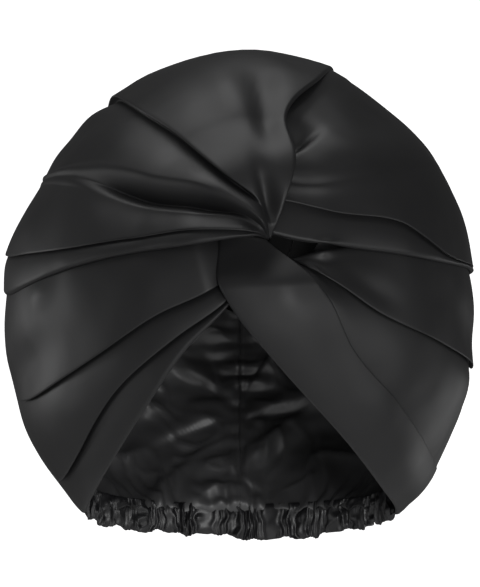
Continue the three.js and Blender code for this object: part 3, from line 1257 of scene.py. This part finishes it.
@dataclass(frozen=True)
class Studio:
    """The white studio.

    Args:
        camera_distance: from the turban's middle, in metres.
        camera_drop: how far the camera is below the turban's middle, in metres.
        view_width: how wide the picture is at the turban, in metres.
        ambient: the strength of the light from all round.
        lights: above, above left, behind left, left, below the front, behind right, right, at the front,
            and a small one at the front for the highlight below the knot.
    """

    camera_distance: float = 8.0
    camera_drop: float = 0.0003
    view_width: float = 0.2592
    ambient: float = 0.07
    lights: tuple[Softbox, ...] = (
        Softbox((-0.05, 0.1, 1.5), (1.0, 0.8), 6.2),
        Softbox((-0.65, -0.25, 1.35), (0.6, 0.6), 2.5),
        Softbox((-1.3, 0.55, 0.13), (0.35, 0.5), 2.6),
        Softbox((-1.5, -0.3, -0.1), (0.8, 0.9), 2.1),
        Softbox((0.0, -1.6, -0.65), (1.6, 0.5), 2.5),
        Softbox((0.95, 0.78, -0.3), (0.35, 0.5), 1.2),
        Softbox((1.4, -0.75, -0.05), (0.8, 0.9), 4.0),
        Softbox((0.2, -2.4, 0.3), (2.6, 2.0), 9.0),
        Softbox((0.65, -2.3, 0.05), (0.35, 0.35), 11.0),
    )

    def build(self) -> None:
        """Makes the camera, the lights, the floor and the backdrop."""
        scene = bpy.context.scene
        for light in self.lights:
            light.build()
        camera = bpy.data.cameras.new("camera")
        camera.sensor_fit = "HORIZONTAL"
        camera.sensor_width = 36.0
        camera.lens = camera.sensor_width * self.camera_distance / self.view_width
        camera.clip_end = 100.0
        holder = bpy.data.objects.new("camera", camera)
        holder.location = (0, -self.camera_distance, RADIUS * MM - self.camera_drop)
        holder.rotation_euler = (math.pi / 2, 0, 0)
        scene.collection.objects.link(holder)
        scene.camera = holder
        world = bpy.data.worlds.new("studio")
        world.use_nodes = True
        background = world.node_tree.nodes["Background"]
        background.inputs["Color"].default_value = linear("#FFFFFF")
        background.inputs["Strength"].default_value = self.ambient
        scene.world = world
        scene.view_settings.view_transform = "Standard"
        self._paper()

    def _paper(self) -> None:
        """Makes a pale floor well under the turban, which hangs as it is worn, and lit paper behind it."""
        pale = bpy.data.materials.new("white paper")
        pale.use_nodes = True
        shader = pale.node_tree.nodes["Principled BSDF"]
        shader.inputs["Base Color"].default_value = linear("#F4F4F4")
        shader.inputs["Roughness"].default_value = 0.9
        glow = pale.copy()
        glow.name = "lit paper"
        shader = glow.node_tree.nodes["Principled BSDF"]
        shader.inputs["Emission Color"].default_value = linear("#FFFFFF")
        shader.inputs["Emission Strength"].default_value = 1.0
        floor, low = 1.5, -0.8
        corners = [(-floor, -floor, low), (floor, -floor, low), (floor, floor, low), (-floor, floor, low)]
        self._sheet_of_paper("floor", corners, pale)
        half, away, foot, top = 0.26, 2.5, -0.26, 0.364
        corners = [(-half, away, foot), (half, away, foot), (half, away, top), (-half, away, top)]
        self._sheet_of_paper("backdrop", corners, glow)

    @staticmethod
    def _sheet_of_paper(
        name: str, corners: list[tuple[float, float, float]], finish: bpy.types.Material
    ) -> None:
        """Makes one flat piece of the stage.

        Args:
            name: the object's name.
            corners: its four corners, in metres.
            finish: its material.
        """
        mesh = bpy.data.meshes.new(name)
        mesh.from_pydata(corners, [], [(0, 1, 2, 3)])
        mesh.materials.append(finish)
        piece = bpy.data.objects.new(name, mesh)
        bpy.context.scene.collection.objects.link(piece)


def main() -> None:
    """Builds the turban and its studio."""
    logging.basicConfig(level=logging.INFO, format="%(message)s")
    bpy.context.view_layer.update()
    # Woven satin: its long floating threads give a broad, soft gloss and hide the weave.
    outer = Satin("black satin", "#1B1B1C", Sheen.OUTER).build()
    # The back's inside is painted a lighter grey than the outside, as painted light for the dim hollow; its
    # glossier face gives brighter and narrower lights on its folds.
    inner = Satin("black satin, glossy side, painted lighter", "#434344", Sheen.INNER, 0.75, 0.3).build()
    # The wraps' inner side gets almost no light, and is painted near black as painted shade, so the hollow
    # at the knot reads as black.
    painted_shade_inside = Satin("black satin, painted shade", "#0B0B0C", Sheen.OUTER, 0.2).build()
    # Drawn up on elastic, the satin shows narrow lights on its ruffles.
    casing = Satin("black satin casing", "#1B1B1D", Sheen.CASING, 0.6, 0.2).build()
    wraps = (
        Wrap("left_wrap", LEFT_UPPER, LEFT_LOWER, LEFT_DENTS, (0.37, 0.33)),
        Wrap("right_wrap", RIGHT_UPPER, RIGHT_LOWER, RIGHT_DENTS, (0.31, 0.28)),
    )
    pieces = [wrap.build(outer, painted_shade_inside) for wrap in wraps]
    pieces += [BackPanel(side, (0.16, 0.2)).build(outer, inner) for side in Side]
    pieces.append(NapeBand().build(casing))
    for piece in pieces:
        LOG.info("%s: %d faces", piece.name, len(piece.data.polygons))
    Studio().build()


if __name__ == "__main__":
    main()
